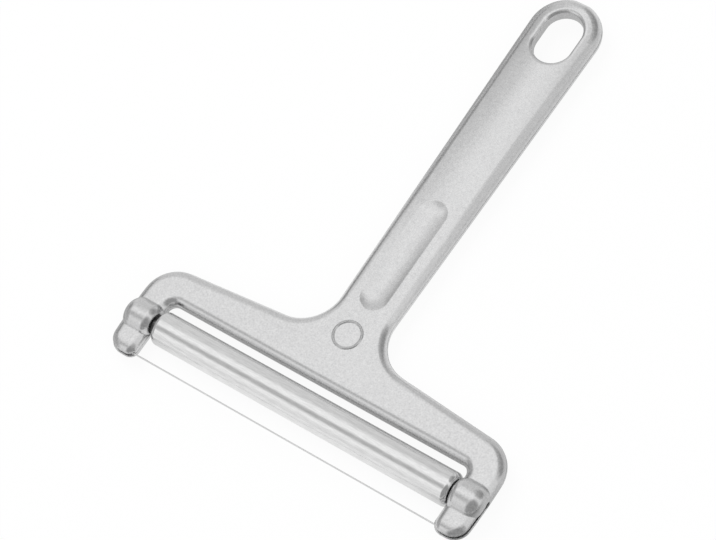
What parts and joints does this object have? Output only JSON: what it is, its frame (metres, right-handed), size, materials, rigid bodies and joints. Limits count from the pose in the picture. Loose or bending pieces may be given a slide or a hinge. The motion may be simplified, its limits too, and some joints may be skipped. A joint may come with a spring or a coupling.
{
  "type": "cheese slicer",
  "caption": "Hand cheese slicer: a die-cast metal handle and fork with a free roller that sets the slice and a taut wire that cuts it.",
  "frame": {"origin": "on the ground under the middle of the slicer, which lies on its back with the roller's lowest line on the ground", "axes": "+X along the roller to the right seen from the front, +Y up the handle away from the wire, +Z out of the front face"},
  "size_m": [0.1304, 0.1672, 0.0111],
  "materials": {
    "cast_aluminium": "satin",
    "roller_steel": "brushed lengthwise",
    "axle_steel": "drawn",
    "bush_plastic": "moulded matt",
    "wire_steel": "drawn bright"
  },
  "bodies": {
    "slicer": {"frame": "cast_aluminium", "axle": "axle_steel", "cutting_wire": "wire_steel", "wire_barrel_left": "wire_steel", "wire_barrel_right": "wire_steel"},
    "roller": {"roller_tube": "roller_steel", "roller_bush_left": "bush_plastic", "roller_bush_right": "bush_plastic"}
  },
  "joints": [
    {"name": "roller_spin", "type": "hinge", "parent": "slicer", "child": "roller", "pos_m": [0, -0.07078, 0.00545], "axis": [1, 0, 0], "continuous": true}
  ]
}
